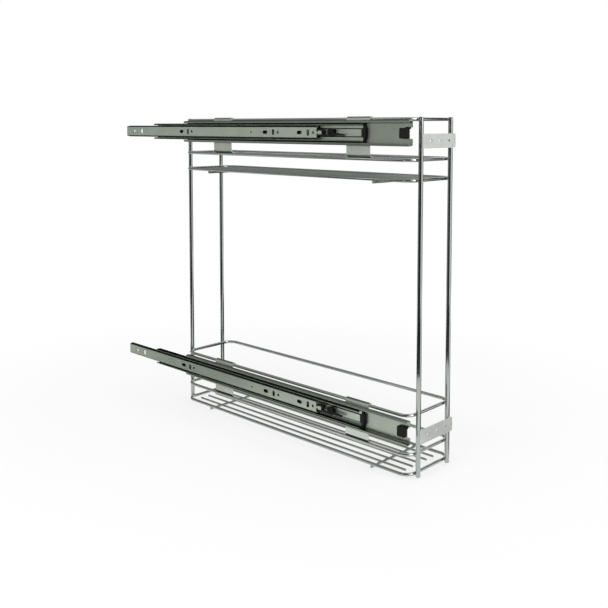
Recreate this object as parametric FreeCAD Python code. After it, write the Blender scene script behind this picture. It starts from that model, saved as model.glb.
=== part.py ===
import FreeCAD, Part
import math
import os

# Pull-out bottle and spice rack for a narrow kitchen cabinet: two chrome wire baskets on four
# posts, carried by two telescopic ball slides on one side. All sizes are in millimetres.
# X is the pull-out direction, Y runs from the cabinet side across the rack, and Z is up.
# The origin lies on the cabinet's side panel, midway between the lower rail's two screw holes.

# Wire baskets, both alike
basket_length = 500.0          # over the wire loops
basket_width = 108.0           # over the wire loops
loop_wire = 5.0                # diameter of the bent loops
loop_corner = 16.0             # corner radius of the loop's centre line
mid_rail_height = 28.5         # middle loop above floor loop, centre to centre
top_rail_height = 85.5         # top loop above floor loop, centre to centre
rack_height = 510.5            # over the posts
floor_wire = 3.5               # diameter of the lengthwise floor wires
floor_wire_count = 5
floor_wire_pitch = 17.0
floor_wire_setback = 17.0      # from the loop's centre line to the end of a floor wire
cross_wire = 4.0               # diameter of the cross wires under the floor
cross_wire_inset = 65.5        # from the loop's end to a cross wire, centre to centre
cross_wire_overhang = 1.6      # how far a cross wire reaches past the loop's centre line

# Posts
post_diameter = 7.0
post_spacing = 72.0            # across the rack, centre to centre
post_foot = 4.0                # post end below the lower floor loop's centre
post_head = 3.0                # post end above the upper top loop's centre
post_chamfer = 0.7

# Slides: rack rail outside, middle rail, and cabinet rail inside
slide_length = 490.0
slide_height = 36.5
slide_depth = 12.7             # from the cabinet's side panel to the back of the rack rail
rack_rail_sheet = 1.2
middle_rail_sheet = 1.0
cabinet_rail_sheet = 1.2
outer_ball = 3.5
inner_ball = 3.0
race_clearance = 0.3           # between a ball and the race it runs in
web_to_ball = 0.8              # inner ball to the cabinet rail's web
web_spacing = 1.1              # between the rack rail's web and the middle rail's web
race_lean = 127.0              # degrees, how the middle rail's two races lie to each other
race_dip = 0.5                 # depth of a rolled race below the flange beside it
rack_rail_lip = 178.0          # degrees, where the rack rail's curl ends
middle_rail_lip = 170.0        # degrees, where the middle rail's curl ends
cabinet_rail_lip = 40.0        # degrees below level, where the cabinet rail's lip ends
rack_rail_bend = 2.0           # centre line radii of the rolled corners
middle_rail_bend = 1.6
cabinet_rail_bend = 1.4
bead_half_height = 6.4         # stiffening bead along the middle rail's web
bead_depth = 1.4
slide_below_top_rail = 19.5    # slide's centre line below the top loop's centre
slide_ahead = 9.0              # slide's middle ahead of the rack's middle
stage_offset = 84.0            # how far each stage is pulled out as the rack stands here

# Holes in the cabinet rail, from its rear end
hole_groups = (166.0, 379.0, 454.5)
slot_to_upright_slot = 18.0
slot_to_round_hole = 28.5
screw_slot_length = 10.5
screw_slot_width = 5.6
upright_slot_length = 9.5
upright_slot_width = 5.2
screw_hole = 4.4
rear_hole_place = 24.0
rear_hole = 5.0
rear_slot_place = 47.0
pilot_hole_place = 346.0
pilot_hole = 3.0

# Ball cages
cage_sheet = 0.5
cage_length = 210.0
cage_end_margin = 10.0         # from the cage's end to the end of the overlap, fully pulled out
full_overlap = 230.0           # what two rails still overlap when the rack is fully out
cage_windows = 2
cage_window_length = 78.0
cage_window_border = 3.0       # strip left between a window and the row of balls
balls_in_a_row = 4
cage_to_web = 0.3
pocket_clearance = 0.12
race_mouth_gap = 0.35          # from the cage's edge to the curl in front of the balls

# Front end of the rack rail: bumper and notch
notch_depth = 5.0
notch_height = 15.4
bumper_length = 14.0
bumper_height = 15.0
bumper_depth = 5.0
bumper_corner = 2.0
bumper_peg = 4.0
bumper_tab_length = 7.0
bumper_tab_height = 3.0
peg_clearance = 0.1

# Plastic end stop on the front of the middle rail
stop_thickness = 5.5           # of the block, in front of the rail
stop_height = 32.0
stop_stem = 3.4                # thickness of the narrow upper and lower arms
stop_stem_depth = 3.2          # across the rail
stop_block_height = 14.0
stop_shoulder = 3.0            # height over which an arm widens into the block
stop_plug_length = 2.5         # how far the block reaches back into the rail
stop_plug_height = 12.0
stop_clearance = 0.5           # between the end stop and the bumper when the rack is closed

# Release lever on the cabinet rail's front end
tongue_length = 9.8
tongue_height = 5.4
tongue_neck_length = 3.2
tongue_neck_height = 2.6
lever_sheet = 3.0
lever_gap = 0.3                # between the lever and the rail's web
lever_hub_length = 11.5
lever_hub_height = 10.5
lever_hub_corner = 1.5
lever_arm = 2.4                # height of the thin arm
lever_arm_drop = 3.6           # arm's middle below the slide's centre line
lever_knob_place = 20.6        # from the rail's front end
lever_knob_length = 12.0
lever_knob_height = 11.0
lever_knob_depth = 4.2
lever_knob_corner = 2.5
lever_tail_end = 50.0          # from the rail's front end
lever_tail_height = 2.4        # at the tip
lever_tail_root = 4.0          # at the knob
lever_pin = 2.8
lever_pin_head = 6.4
lever_pin_head_height = 0.8
lever_pin_clearance = 0.06
lever_pin_place = 6.5          # from the rail's front end

# Plates that carry the slides on the baskets
plate_sheet = 1.5
plate_width = 44.0
plate_from_rear = 107.0        # plate's middle from the rack's rear end
plate_from_front = 94.0
plate_bend = 3.0
plate_lip = 5.0                # how far the lower lip reaches over the middle rail
hook_clearance = 0.1
hook_end = 35.0                # degrees, where the hook over the top rail ends
rivet_pitch = 24.0
rivet_shank = 4.0
rivet_head = 7.0
rivet_head_height = 1.2
rivet_clearance = 0.08

# Door brackets on the front posts
bracket_sheet = 1.5
bracket_height = 20.5
bracket_above_floor = 55.0
bracket_near_end = 38.0        # from the rack's middle towards the slide side
bracket_far_end = 41.5
bracket_corner = 2.0
bracket_hole = 4.6
bracket_hole_first = -19.0     # from the rack's middle
bracket_hole_pitch = 22.3
bracket_hole_count = 3
bracket_end_hole = 38.0
bracket_end_hole_size = 3.4

# Worked out from the sizes above
rail_rear = -(hole_groups[0] + hole_groups[1]) / 2 - slot_to_round_hole
middle_rear = rail_rear + stage_offset
rack_rail_rear = middle_rear + stage_offset
rack_middle_x = rack_rail_rear + slide_length / 2 - slide_ahead
rack_rear = rack_middle_x - basket_length / 2
rack_front = rack_middle_x + basket_length / 2
rack_middle_y = slide_depth + plate_sheet + basket_width / 2
loop_radius = loop_wire / 2
loop_half_length = basket_length / 2 - loop_radius
loop_half_width = basket_width / 2 - loop_radius
near_rail_y = rack_middle_y - loop_half_width
post_x_offset = loop_half_length + loop_radius + post_diameter / 2
floor_z = slide_below_top_rail - top_rail_height
basket_rise = rack_height - post_foot - post_head - top_rail_height
levels = {"lower": 0.0, "upper": basket_rise}
bumper_back = notch_depth + bumper_length
closed_offset = bumper_back + stop_thickness + stop_clearance
full_offset = slide_length - full_overlap


def solid_of(shape):
    """The one solid in a shape."""
    return shape.Solids[0]


def group(solids):
    """Several separate solids as one sub-part."""
    return Part.makeCompound(solids)


def rod(start, end, diameter):
    """A straight round rod between two points."""
    axis = end - start
    return Part.makeCylinder(diameter / 2, axis.Length, start, axis)


def point(y, z, x=0.0):
    return FreeCAD.Vector(x, y, z)


def bend(centre, radius, start, end):
    """An arc in the YZ plane, from one angle to another in degrees."""
    spots = []
    for angle in (start, (start + end) / 2, end):
        turn = math.radians(angle)
        spots.append(point(centre[0] + radius * math.cos(turn), centre[1] + radius * math.sin(turn)))
    return Part.Arc(*spots).toShape()


def run(start, end):
    return Part.LineSegment(point(*start), point(*end)).toShape()


def rolled_rail(half_line, sheet, rear, length):
    """A rolled sheet section from the centre line of its upper half, mirrored about Z = 0."""
    lower_half = [edge.mirror(point(0, 0), point(0, 1)) for edge in half_line]
    centre_line = Part.Wire(Part.__sortEdges__(half_line + lower_half))
    section = centre_line.makeOffset2D(sheet / 2, 0, True, False, False)
    rail = section.extrude(FreeCAD.Vector(length, 0, 0))
    rail.translate(FreeCAD.Vector(rear, 0, 0))
    return solid_of(rail)


# Where the balls run, in the slide's cross-section
rack_race = outer_ball / 2 + race_clearance + rack_rail_sheet / 2
middle_outer_race = outer_ball / 2 + race_clearance + middle_rail_sheet / 2
middle_inner_race = inner_ball / 2 + race_clearance + middle_rail_sheet / 2
cabinet_race = inner_ball / 2 + race_clearance + cabinet_rail_sheet / 2
inner_ball_y = cabinet_rail_sheet + web_to_ball + inner_ball / 2
race_step = middle_outer_race + middle_inner_race
outer_ball_y = inner_ball_y - race_step * math.cos(math.radians(race_lean))
outer_ball_z = slide_height / 2 - rack_rail_sheet / 2 - rack_race
inner_ball_z = outer_ball_z - race_step * math.sin(math.radians(race_lean))
middle_web_y = slide_depth - rack_rail_sheet - web_spacing - middle_rail_sheet / 2


def rack_rail_line():
    """Upper half of the rack rail: web, flange, and a curl round the outer balls."""
    web_y = slide_depth - rack_rail_sheet / 2
    flange_z = outer_ball_z + rack_race - race_dip
    start = math.degrees(math.asin((flange_z - outer_ball_z) / rack_race))
    race_y = outer_ball_y + rack_race * math.cos(math.radians(start))
    corner = (web_y - rack_rail_bend, flange_z - rack_rail_bend)
    return [
        run((web_y, 0), (web_y, corner[1])),
        bend(corner, rack_rail_bend, 0, 90),
        run((corner[0], flange_z), (race_y, flange_z)),
        bend((outer_ball_y, outer_ball_z), rack_race, start, rack_rail_lip),
    ]


def middle_rail_line():
    """Upper half of the middle rail: beaded web, and a flange that carries both ball rows."""
    flange_z = outer_ball_z - middle_outer_race + race_dip
    start = math.degrees(math.asin((flange_z - outer_ball_z) / middle_outer_race))
    race_y = outer_ball_y + middle_outer_race * math.cos(math.radians(start))
    corner = (middle_web_y - middle_rail_bend, flange_z - middle_rail_bend)
    bead_y = middle_web_y - bead_depth
    return [
        run((bead_y, 0), (bead_y, bead_half_height - bead_depth)),
        run((bead_y, bead_half_height - bead_depth), (middle_web_y, bead_half_height)),
        run((middle_web_y, bead_half_height), (middle_web_y, corner[1])),
        bend(corner, middle_rail_bend, 0, 90),
        run((corner[0], flange_z), (race_y, flange_z)),
        bend((outer_ball_y, outer_ball_z), middle_outer_race, start, -race_lean),
        bend((inner_ball_y, inner_ball_z), middle_inner_race, 180 - race_lean, middle_rail_lip),
    ]


def cabinet_rail_line():
    """Upper half of the cabinet rail: web, and a lip under the inner balls."""
    web_y = cabinet_rail_sheet / 2
    flange_z = inner_ball_z - cabinet_race
    corner = (web_y + cabinet_rail_bend, flange_z - cabinet_rail_bend)
    return [
        run((web_y, 0), (web_y, corner[1])),
        bend(corner, cabinet_rail_bend, 180, 90),
        run((corner[0], flange_z), (inner_ball_y, flange_z)),
        bend((inner_ball_y, inner_ball_z), cabinet_race, -90, -cabinet_rail_lip),
    ]


def web_hole(x, diameter, y=0.0, depth=cabinet_rail_sheet, z=0.0):
    """A cutter for a round hole through a web that is square to Y."""
    return Part.makeCylinder(diameter / 2, depth + 2, FreeCAD.Vector(x, y - 1, z), FreeCAD.Vector(0, 1, 0))


def web_slot(x, length, width, upright=False):
    """A cutter for a slot with round ends, lying along X or standing upright."""
    half = (length - width) / 2
    shift = FreeCAD.Vector(0, 0, half) if upright else FreeCAD.Vector(half, 0, 0)
    across = FreeCAD.Vector(width / 2, 0, 0) if upright else FreeCAD.Vector(0, 0, width / 2)
    centre = FreeCAD.Vector(x, -1, 0)
    one = [centre - shift - across, centre - shift + across]
    two = [centre + shift + across, centre + shift - across]
    along = shift * (1 / half)
    tip_two = centre + shift + along * (width / 2)
    tip_one = centre - shift - along * (width / 2)
    edges = [
        Part.LineSegment(one[1], two[0]).toShape(),
        Part.Arc(two[0], tip_two, two[1]).toShape(),
        Part.LineSegment(two[1], one[0]).toShape(),
        Part.Arc(one[0], tip_one, one[1]).toShape(),
    ]
    return Part.Face(Part.Wire(edges)).extrude(FreeCAD.Vector(0, cabinet_rail_sheet + 2, 0))


def flat_plate(outline, thickness, y):
    """A plate square to Y, from an outline of (x, z) points."""
    spots = [FreeCAD.Vector(x, y, z) for x, z in outline]
    return Part.Face(Part.makePolygon(spots + spots[:1])).extrude(FreeCAD.Vector(0, thickness, 0))


def upright_edges(shape):
    """Edges of a block that run along Y."""
    found = []
    for edge in shape.Edges:
        ends = [vertex.Point for vertex in edge.Vertexes]
        if len(ends) == 2 and abs(ends[0].x - ends[1].x) < 1e-6 and abs(ends[0].z - ends[1].z) < 1e-6:
            found.append(edge)
    return found


def block(x, length, low_y, depth, height, corner):
    """A block centred on Z = 0 whose four edges along Y are rounded."""
    body = Part.makeBox(length, depth, height, FreeCAD.Vector(x, low_y, -height / 2))
    return body.makeFillet(corner, upright_edges(body))


def cabinet_rail():
    """Smallest rail, screwed to the cabinet's side, with a tongue that carries the lever."""
    rail = rolled_rail(cabinet_rail_line(), cabinet_rail_sheet, rail_rear, slide_length)
    front = rail_rear + slide_length
    neck = Part.makeBox(tongue_neck_length, cabinet_rail_sheet, tongue_neck_height,
                        FreeCAD.Vector(front, 0, -tongue_neck_height / 2))
    head = Part.makeBox(tongue_length - tongue_neck_length, cabinet_rail_sheet, tongue_height,
                        FreeCAD.Vector(front + tongue_neck_length, 0, -tongue_height / 2))
    rail = rail.fuse([neck, head]).removeSplitter()
    cutters = []
    for start in hole_groups:
        x = rail_rear + start
        cutters.append(web_slot(x, screw_slot_length, screw_slot_width))
        cutters.append(web_slot(x + slot_to_upright_slot, upright_slot_length, upright_slot_width, True))
        cutters.append(web_hole(x + slot_to_round_hole, screw_hole))
    cutters.append(web_hole(rail_rear + rear_hole_place, rear_hole))
    cutters.append(web_slot(rail_rear + rear_slot_place, upright_slot_length, upright_slot_width, True))
    cutters.append(web_hole(rail_rear + pilot_hole_place, pilot_hole))
    cutters.append(web_hole(front + lever_pin_place, lever_pin))
    return solid_of(rail.cut(cutters))


def middle_rail():
    return rolled_rail(middle_rail_line(), middle_rail_sheet, middle_rear, slide_length)


def rivet_places():
    """X of each rivet, two in each plate."""
    centres = (rack_rear + plate_from_rear, rack_front - plate_from_front)
    return [x + side * rivet_pitch / 2 for x in centres for side in (-1, 1)]


def bumper_peg_x():
    return rack_rail_rear + slide_length - notch_depth - bumper_length / 2


def rack_rail():
    """Largest rail, riveted to the baskets, notched at its front end."""
    rail = rolled_rail(rack_rail_line(), rack_rail_sheet, rack_rail_rear, slide_length)
    front = rack_rail_rear + slide_length
    web_y = slide_depth - rack_rail_sheet
    cutters = [Part.makeBox(notch_depth, rack_rail_sheet + 2, notch_height,
                            FreeCAD.Vector(front - notch_depth, web_y - 1, -notch_height / 2))]
    cutters.append(web_hole(bumper_peg_x(), bumper_peg, web_y, rack_rail_sheet))
    for x in rivet_places():
        cutters.append(web_hole(x, rivet_shank, web_y, rack_rail_sheet))
        cutters.append(Part.makeCone(rivet_head / 2, rivet_shank / 2, rack_rail_sheet,
                                     FreeCAD.Vector(x, web_y, 0), FreeCAD.Vector(0, 1, 0)))
    return solid_of(rail.cut(cutters))


def rivets():
    """Rivets flush inside the rack rail, with a round head behind the plate."""
    web_y = slide_depth - rack_rail_sheet
    back_y = slide_depth + plate_sheet
    made = []
    for x in rivet_places():
        shank_radius = rivet_shank / 2 - rivet_clearance
        head_radius = rivet_head / 2 - rivet_clearance
        outline = [
            FreeCAD.Vector(x, web_y, 0),
            FreeCAD.Vector(x + head_radius, web_y, 0),
            FreeCAD.Vector(x + shank_radius, web_y + rack_rail_sheet, 0),
            FreeCAD.Vector(x + shank_radius, back_y, 0),
            FreeCAD.Vector(x + rivet_head / 2, back_y, 0),
            FreeCAD.Vector(x + rivet_shank / 2, back_y + rivet_head_height, 0),
            FreeCAD.Vector(x, back_y + rivet_head_height, 0),
        ]
        face = Part.Face(Part.makePolygon(outline + outline[:1]))
        made.append(solid_of(face.revolve(FreeCAD.Vector(x, 0, 0), FreeCAD.Vector(0, 1, 0), 360)))
    return group(made)


def rail_bumper():
    """Black rubber bumper on the rack rail's web, with a small tab at its upper front corner."""
    front = rack_rail_rear + slide_length - notch_depth
    web_y = slide_depth - rack_rail_sheet
    body = block(front - bumper_length, bumper_length, web_y - bumper_depth, bumper_depth,
                 bumper_height, bumper_corner)
    tab = Part.makeBox(bumper_tab_length, bumper_depth / 2, bumper_tab_height,
                       FreeCAD.Vector(front - bumper_tab_length + notch_depth / 2,
                                      web_y - bumper_depth / 2, bumper_height / 2 - bumper_corner))
    peg = Part.makeCylinder(bumper_peg / 2 - peg_clearance, rack_rail_sheet + 1,
                            FreeCAD.Vector(bumper_peg_x(), web_y, 0), FreeCAD.Vector(0, 1, 0))
    return solid_of(body.fuse([tab, peg]).removeSplitter())


def middle_end_stop():
    """Plastic piece on the middle rail's front end that meets the bumper when the rack closes."""
    front = middle_rear + slide_length
    low_y = outer_ball_y
    high_y = slide_depth - rack_rail_sheet - cage_to_web - cage_sheet
    top = stop_height / 2
    middle = stop_block_height / 2
    outline = [
        (front, -top), (front + stop_stem, -top), (front + stop_stem, -middle - stop_shoulder),
        (front + stop_thickness, -middle), (front + stop_thickness, middle),
        (front + stop_stem, middle + stop_shoulder), (front + stop_stem, top), (front, top),
    ]
    arms = flat_plate(outline, stop_stem_depth, high_y - stop_stem_depth)
    block_body = Part.makeBox(stop_thickness, high_y - low_y, stop_block_height,
                              FreeCAD.Vector(front, low_y, -middle))
    plug_y = middle_web_y - middle_rail_sheet / 2 - bead_depth
    plug = Part.makeBox(stop_plug_length, plug_y - low_y, stop_plug_height,
                        FreeCAD.Vector(front - stop_plug_length, low_y, -stop_plug_height / 2))
    return solid_of(arms.fuse([block_body, plug]).removeSplitter())


def cage_start(rear):
    """Rear end of a cage, from the rear end of the rail that the cage's stage starts from."""
    travel = stage_offset - full_offset
    return rear + full_offset + cage_end_margin + travel / 2


def ball_places(rear):
    """X of each ball in a row."""
    start = cage_start(rear)
    end_room = cage_length / (2 * balls_in_a_row)
    pitch = (cage_length - 2 * end_room) / (balls_in_a_row - 1)
    return [start + end_room + i * pitch for i in range(balls_in_a_row)]


def cage(rear, web_face_y, ball_y, ball_z, ball, reach):
    """One strip bent to a channel, with windows in its web and an open pocket for each ball."""
    start = cage_start(rear)
    web_y = web_face_y - cage_sheet / 2
    line = Part.Wire([run((reach, ball_z), (web_y, ball_z)), run((web_y, ball_z), (web_y, -ball_z)),
                      run((web_y, -ball_z), (reach, -ball_z))])
    channel = line.makeOffset2D(cage_sheet / 2, 2, True, False, False)
    channel = channel.extrude(FreeCAD.Vector(cage_length, 0, 0))
    channel.translate(FreeCAD.Vector(start, 0, 0))
    cutters = []
    for side in (1, -1):
        for x in ball_places(rear):
            cutters.append(Part.makeCylinder(ball / 2 + pocket_clearance, 2 * cage_sheet + 1,
                                             FreeCAD.Vector(x, ball_y, side * ball_z - cage_sheet - 0.5)))
    bridge = (cage_length - cage_windows * cage_window_length) / (cage_windows + 1)
    half = ball_z - cage_sheet - cage_window_border
    for i in range(cage_windows):
        x = start + bridge + i * (cage_window_length + bridge)
        cutters.append(Part.makeBox(cage_window_length, 2 * cage_sheet + 1, 2 * half,
                                    FreeCAD.Vector(x, web_y - cage_sheet - 0.5, -half)))
    return solid_of(channel.cut(cutters))


def balls(rear, ball_y, ball_z, ball):
    made = []
    for side in (1, -1):
        for x in ball_places(rear):
            made.append(Part.makeSphere(ball / 2, FreeCAD.Vector(x, ball_y, side * ball_z)))
    return group(made)


def outer_cage():
    reach = outer_ball_y - rack_race + rack_rail_sheet / 2 + race_mouth_gap + cage_sheet / 2
    web_face = slide_depth - rack_rail_sheet - cage_to_web
    return cage(middle_rear, web_face, outer_ball_y, outer_ball_z, outer_ball, reach)


def inner_cage():
    reach = inner_ball_y - middle_inner_race + middle_rail_sheet / 2 + race_mouth_gap + cage_sheet / 2
    web_face = middle_web_y - middle_rail_sheet / 2 - bead_depth - cage_to_web
    return cage(rail_rear, web_face, inner_ball_y, inner_ball_z, inner_ball, reach)


def pivot_x():
    return rail_rear + slide_length + lever_pin_place


def release_lever():
    """Black plastic lever: square hub on the pin, thin arm, thumb knob and tapered tail."""
    front = rail_rear + slide_length
    low_y = cabinet_rail_sheet + lever_gap
    hub_x = pivot_x() - lever_hub_length / 2
    hub = block(hub_x, lever_hub_length, low_y, lever_sheet, lever_hub_height, lever_hub_corner)
    knob_x = front + lever_knob_place
    knob_middle = knob_x + lever_knob_length / 2
    knob = block(knob_x, lever_knob_length, low_y, lever_knob_depth, lever_knob_height, lever_knob_corner)
    arm_x = hub_x + lever_hub_length / 2
    arm = Part.makeBox(knob_middle - arm_x, lever_sheet, lever_arm,
                       FreeCAD.Vector(arm_x, low_y, -lever_arm_drop - lever_arm / 2))
    low_z = -lever_knob_height / 2 + lever_knob_corner / 2
    tail_x = knob_middle
    tip_x = front + lever_tail_end
    tail = flat_plate([(tail_x, low_z), (tip_x, low_z), (tip_x, low_z + lever_tail_height),
                       (tail_x, low_z + lever_tail_root)], lever_sheet, low_y)
    hole = Part.makeCylinder(lever_pin / 2 + lever_pin_clearance, lever_sheet + 2,
                             FreeCAD.Vector(pivot_x(), low_y - 1, 0), FreeCAD.Vector(0, 1, 0))
    return solid_of(hub.fuse([arm, knob, tail]).removeSplitter().cut(hole))


def lever_pin_piece():
    """Pin through the tongue and the lever, flush with the rail's face."""
    x = pivot_x()
    shank = cabinet_rail_sheet + 2 * lever_gap + lever_sheet
    shaft = Part.makeCylinder(lever_pin / 2, shank, FreeCAD.Vector(x, 0, 0), FreeCAD.Vector(0, 1, 0))
    head = Part.makeCylinder(lever_pin_head / 2, lever_pin_head_height,
                             FreeCAD.Vector(x, shank, 0), FreeCAD.Vector(0, 1, 0))
    return solid_of(shaft.fuse(head).removeSplitter())


def carrier_plate(centre_x):
    """Pressed plate that hooks over the top rail and rests on the middle rail with its lower lip."""
    mid_y = slide_depth + plate_sheet / 2
    hook_radius = loop_radius + hook_clearance + plate_sheet / 2
    hook = (mid_y + hook_radius, slide_below_top_rail)
    lip_z = floor_z + mid_rail_height + loop_radius + plate_sheet / 2
    corner = (mid_y + plate_bend, lip_z + plate_bend)
    line = Part.Wire([
        bend(hook, hook_radius, hook_end, 180),
        run((mid_y, slide_below_top_rail), (mid_y, corner[1])),
        bend(corner, plate_bend, 180, 270),
        run((corner[0], lip_z), (near_rail_y - loop_radius + plate_lip, lip_z)),
    ])
    plate = line.makeOffset2D(plate_sheet / 2, 0, True, False, False)
    plate = plate.extrude(FreeCAD.Vector(plate_width, 0, 0))
    plate.translate(FreeCAD.Vector(centre_x - plate_width / 2, 0, 0))
    cutters = []
    for side in (-1, 1):
        cutters.append(web_hole(centre_x + side * rivet_pitch / 2, rivet_shank, slide_depth, plate_sheet))
    return solid_of(plate.cut(cutters))


def wire_loop(z):
    """A closed loop of wire with round corners, lying flat at one height."""
    half_x = loop_half_length
    half_y = loop_half_width
    edges = []
    corners = ((1, 1, 0), (-1, 1, 90), (-1, -1, 180), (1, -1, 270))
    ends = []
    for side_x, side_y, start in corners:
        centre = FreeCAD.Vector(rack_middle_x + side_x * (half_x - loop_corner),
                                rack_middle_y + side_y * (half_y - loop_corner), z)
        spots = []
        for angle in (start, start + 45, start + 90):
            turn = math.radians(angle)
            spots.append(centre + FreeCAD.Vector(loop_corner * math.cos(turn), loop_corner * math.sin(turn), 0))
        ends.append((spots[0], spots[2]))
        edges.append(Part.Arc(*spots).toShape())
        if len(ends) > 1:
            edges.insert(-1, Part.LineSegment(ends[-2][1], spots[0]).toShape())
    edges.append(Part.LineSegment(ends[-1][1], ends[0][0]).toShape())
    path = Part.Wire(edges)
    start = ends[0][0]
    ring = Part.Wire(Part.makeCircle(loop_radius, start, FreeCAD.Vector(0, 1, 0)))
    return solid_of(path.makePipeShell([ring], True, True))


def floor_wires(z):
    """Lengthwise wires that lie on the cross wires."""
    height = z - loop_radius - cross_wire + cross_wire / 2 + (cross_wire + floor_wire) / 2
    half = loop_half_length - floor_wire_setback
    made = []
    for i in range(floor_wire_count):
        y = rack_middle_y + (i - (floor_wire_count - 1) / 2) * floor_wire_pitch
        made.append(rod(FreeCAD.Vector(rack_middle_x - half, y, height),
                        FreeCAD.Vector(rack_middle_x + half, y, height), floor_wire))
    return group(made)


def cross_wires(z):
    """Two wires across the floor, under the loop and the floor wires."""
    height = z - loop_radius - cross_wire / 2
    half = loop_half_width + cross_wire_overhang
    made = []
    for side in (-1, 1):
        x = rack_middle_x + side * (loop_half_length - cross_wire_inset)
        made.append(rod(FreeCAD.Vector(x, rack_middle_y - half, height),
                        FreeCAD.Vector(x, rack_middle_y + half, height), cross_wire))
    return group(made)


def post(side_x, side_y):
    """A straight round post, tangent to the ends of the loops, chamfered at both ends."""
    x = rack_middle_x + side_x * post_x_offset
    y = rack_middle_y + side_y * post_spacing / 2
    low = floor_z - post_foot
    high = floor_z + basket_rise + top_rail_height + post_head
    shaft = rod(FreeCAD.Vector(x, y, low), FreeCAD.Vector(x, y, high), post_diameter)
    rims = [edge for edge in shaft.Edges if len(edge.Vertexes) == 1]
    return solid_of(shaft.makeChamfer(post_chamfer, rims))


def door_bracket(level):
    """Flat perforated strip across the two front posts, for the cabinet's door."""
    x = rack_middle_x + post_x_offset + post_diameter / 2
    centre_z = floor_z + level + bracket_above_floor
    low = FreeCAD.Vector(x, rack_middle_y - bracket_near_end, centre_z - bracket_height / 2)
    strip = Part.makeBox(bracket_sheet, bracket_near_end + bracket_far_end, bracket_height, low)
    corners = []
    for edge in strip.Edges:
        ends = [vertex.Point for vertex in edge.Vertexes]
        if abs(ends[0].x - ends[1].x) > bracket_sheet / 2:
            corners.append(edge)
    strip = strip.makeFillet(bracket_corner, corners)
    holes = []
    for i in range(bracket_hole_count):
        y = rack_middle_y + bracket_hole_first + i * bracket_hole_pitch
        holes.append(Part.makeCylinder(bracket_hole / 2, bracket_sheet + 2,
                                       FreeCAD.Vector(x - 1, y, centre_z), FreeCAD.Vector(1, 0, 0)))
    holes.append(Part.makeCylinder(bracket_end_hole_size / 2, bracket_sheet + 2,
                                   FreeCAD.Vector(x - 1, rack_middle_y + bracket_end_hole, centre_z),
                                   FreeCAD.Vector(1, 0, 0)))
    return solid_of(strip.cut(holes))


def slide_pieces():
    """Every piece of one slide, at the lower slide's height."""
    return {
        "cabinet_rail": cabinet_rail(),
        "lever_pin": lever_pin_piece(),
        "release_lever": release_lever(),
        "inner_ball_cage": inner_cage(),
        "inner_balls": balls(rail_rear, inner_ball_y, inner_ball_z, inner_ball),
        "middle_rail": middle_rail(),
        "middle_end_stop": middle_end_stop(),
        "outer_ball_cage": outer_cage(),
        "outer_balls": balls(middle_rear, outer_ball_y, outer_ball_z, outer_ball),
        "rack_rail": rack_rail(),
        "rail_bumper": rail_bumper(),
        "rail_rivets": rivets(),
        "rear_plate": carrier_plate(rack_rear + plate_from_rear),
        "front_plate": carrier_plate(rack_front - plate_from_front),
    }


def basket_pieces():
    """Every wire of one basket, at the lower basket's height."""
    return {
        "floor_loop": wire_loop(floor_z),
        "middle_loop": wire_loop(floor_z + mid_rail_height),
        "top_loop": wire_loop(floor_z + top_rail_height),
        "floor_wires": floor_wires(floor_z),
        "cross_wires": cross_wires(floor_z),
        "door_bracket": door_bracket(0.0),
    }


def rack():
    """All sub-parts by name."""
    made = {}
    for pieces in (slide_pieces(), basket_pieces()):
        for tier, height in levels.items():
            for name, shape in pieces.items():
                placed = shape.copy()
                placed.translate(FreeCAD.Vector(0, 0, height))
                made[tier + "_" + name] = placed
    for end, side_x in (("rear", -1), ("front", 1)):
        for place, side_y in (("near", -1), ("far", 1)):
            made[end + "_" + place + "_post"] = post(side_x, side_y)
    return made


os.makedirs("parts", exist_ok=True)
for node, shape in rack().items():
    shape.exportStep("parts/" + node + ".step")
print("The rack closes at", 2 * (closed_offset - stage_offset), "and is fully out at",
      2 * (full_offset - stage_offset))
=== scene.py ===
import math

import bmesh
import bpy
from mathutils import Matrix, Vector


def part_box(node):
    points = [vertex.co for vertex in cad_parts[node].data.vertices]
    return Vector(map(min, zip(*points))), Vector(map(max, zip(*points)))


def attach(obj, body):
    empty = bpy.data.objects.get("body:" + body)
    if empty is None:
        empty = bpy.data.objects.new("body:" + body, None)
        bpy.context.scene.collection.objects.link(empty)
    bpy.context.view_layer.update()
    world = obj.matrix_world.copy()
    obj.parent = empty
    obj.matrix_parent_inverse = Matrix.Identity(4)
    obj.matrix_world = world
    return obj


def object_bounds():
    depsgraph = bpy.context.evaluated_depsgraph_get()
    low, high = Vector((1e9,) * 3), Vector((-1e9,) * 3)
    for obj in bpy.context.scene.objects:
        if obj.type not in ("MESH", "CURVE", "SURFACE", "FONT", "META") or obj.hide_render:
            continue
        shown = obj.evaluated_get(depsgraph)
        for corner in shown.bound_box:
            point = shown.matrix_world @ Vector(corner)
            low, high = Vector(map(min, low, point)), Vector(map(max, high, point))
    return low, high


bl_info = {
    "name": "Pull-out wire rack",
    "version": (1, 0, 0),
    "blender": (4, 5, 0),
    "location": "View3D > Sidebar > Wire rack",
    "description": "Finishes, weld nuggets, grip ribs and studio for a pull-out bottle and spice rack",
    "category": "Object",
}

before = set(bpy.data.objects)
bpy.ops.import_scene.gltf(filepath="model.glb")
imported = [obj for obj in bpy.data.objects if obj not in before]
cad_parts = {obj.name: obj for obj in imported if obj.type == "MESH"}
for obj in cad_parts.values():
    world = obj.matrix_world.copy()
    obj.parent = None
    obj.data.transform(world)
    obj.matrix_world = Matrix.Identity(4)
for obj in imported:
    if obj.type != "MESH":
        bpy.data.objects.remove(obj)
cad_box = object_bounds()

TIERS = ("lower", "upper")
POSTS = ("rear_near_post", "rear_far_post", "front_near_post", "front_far_post")
MM = 0.001
WIRE_ANGLE = math.radians(40)      # edges flatter than this are shaded smooth on wires
SHEET_ANGLE = math.radians(35)     # and on sheet and moulded pieces
WHITE = (1.0, 1.0, 1.0, 1.0)


# Sizes read from the frame

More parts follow.
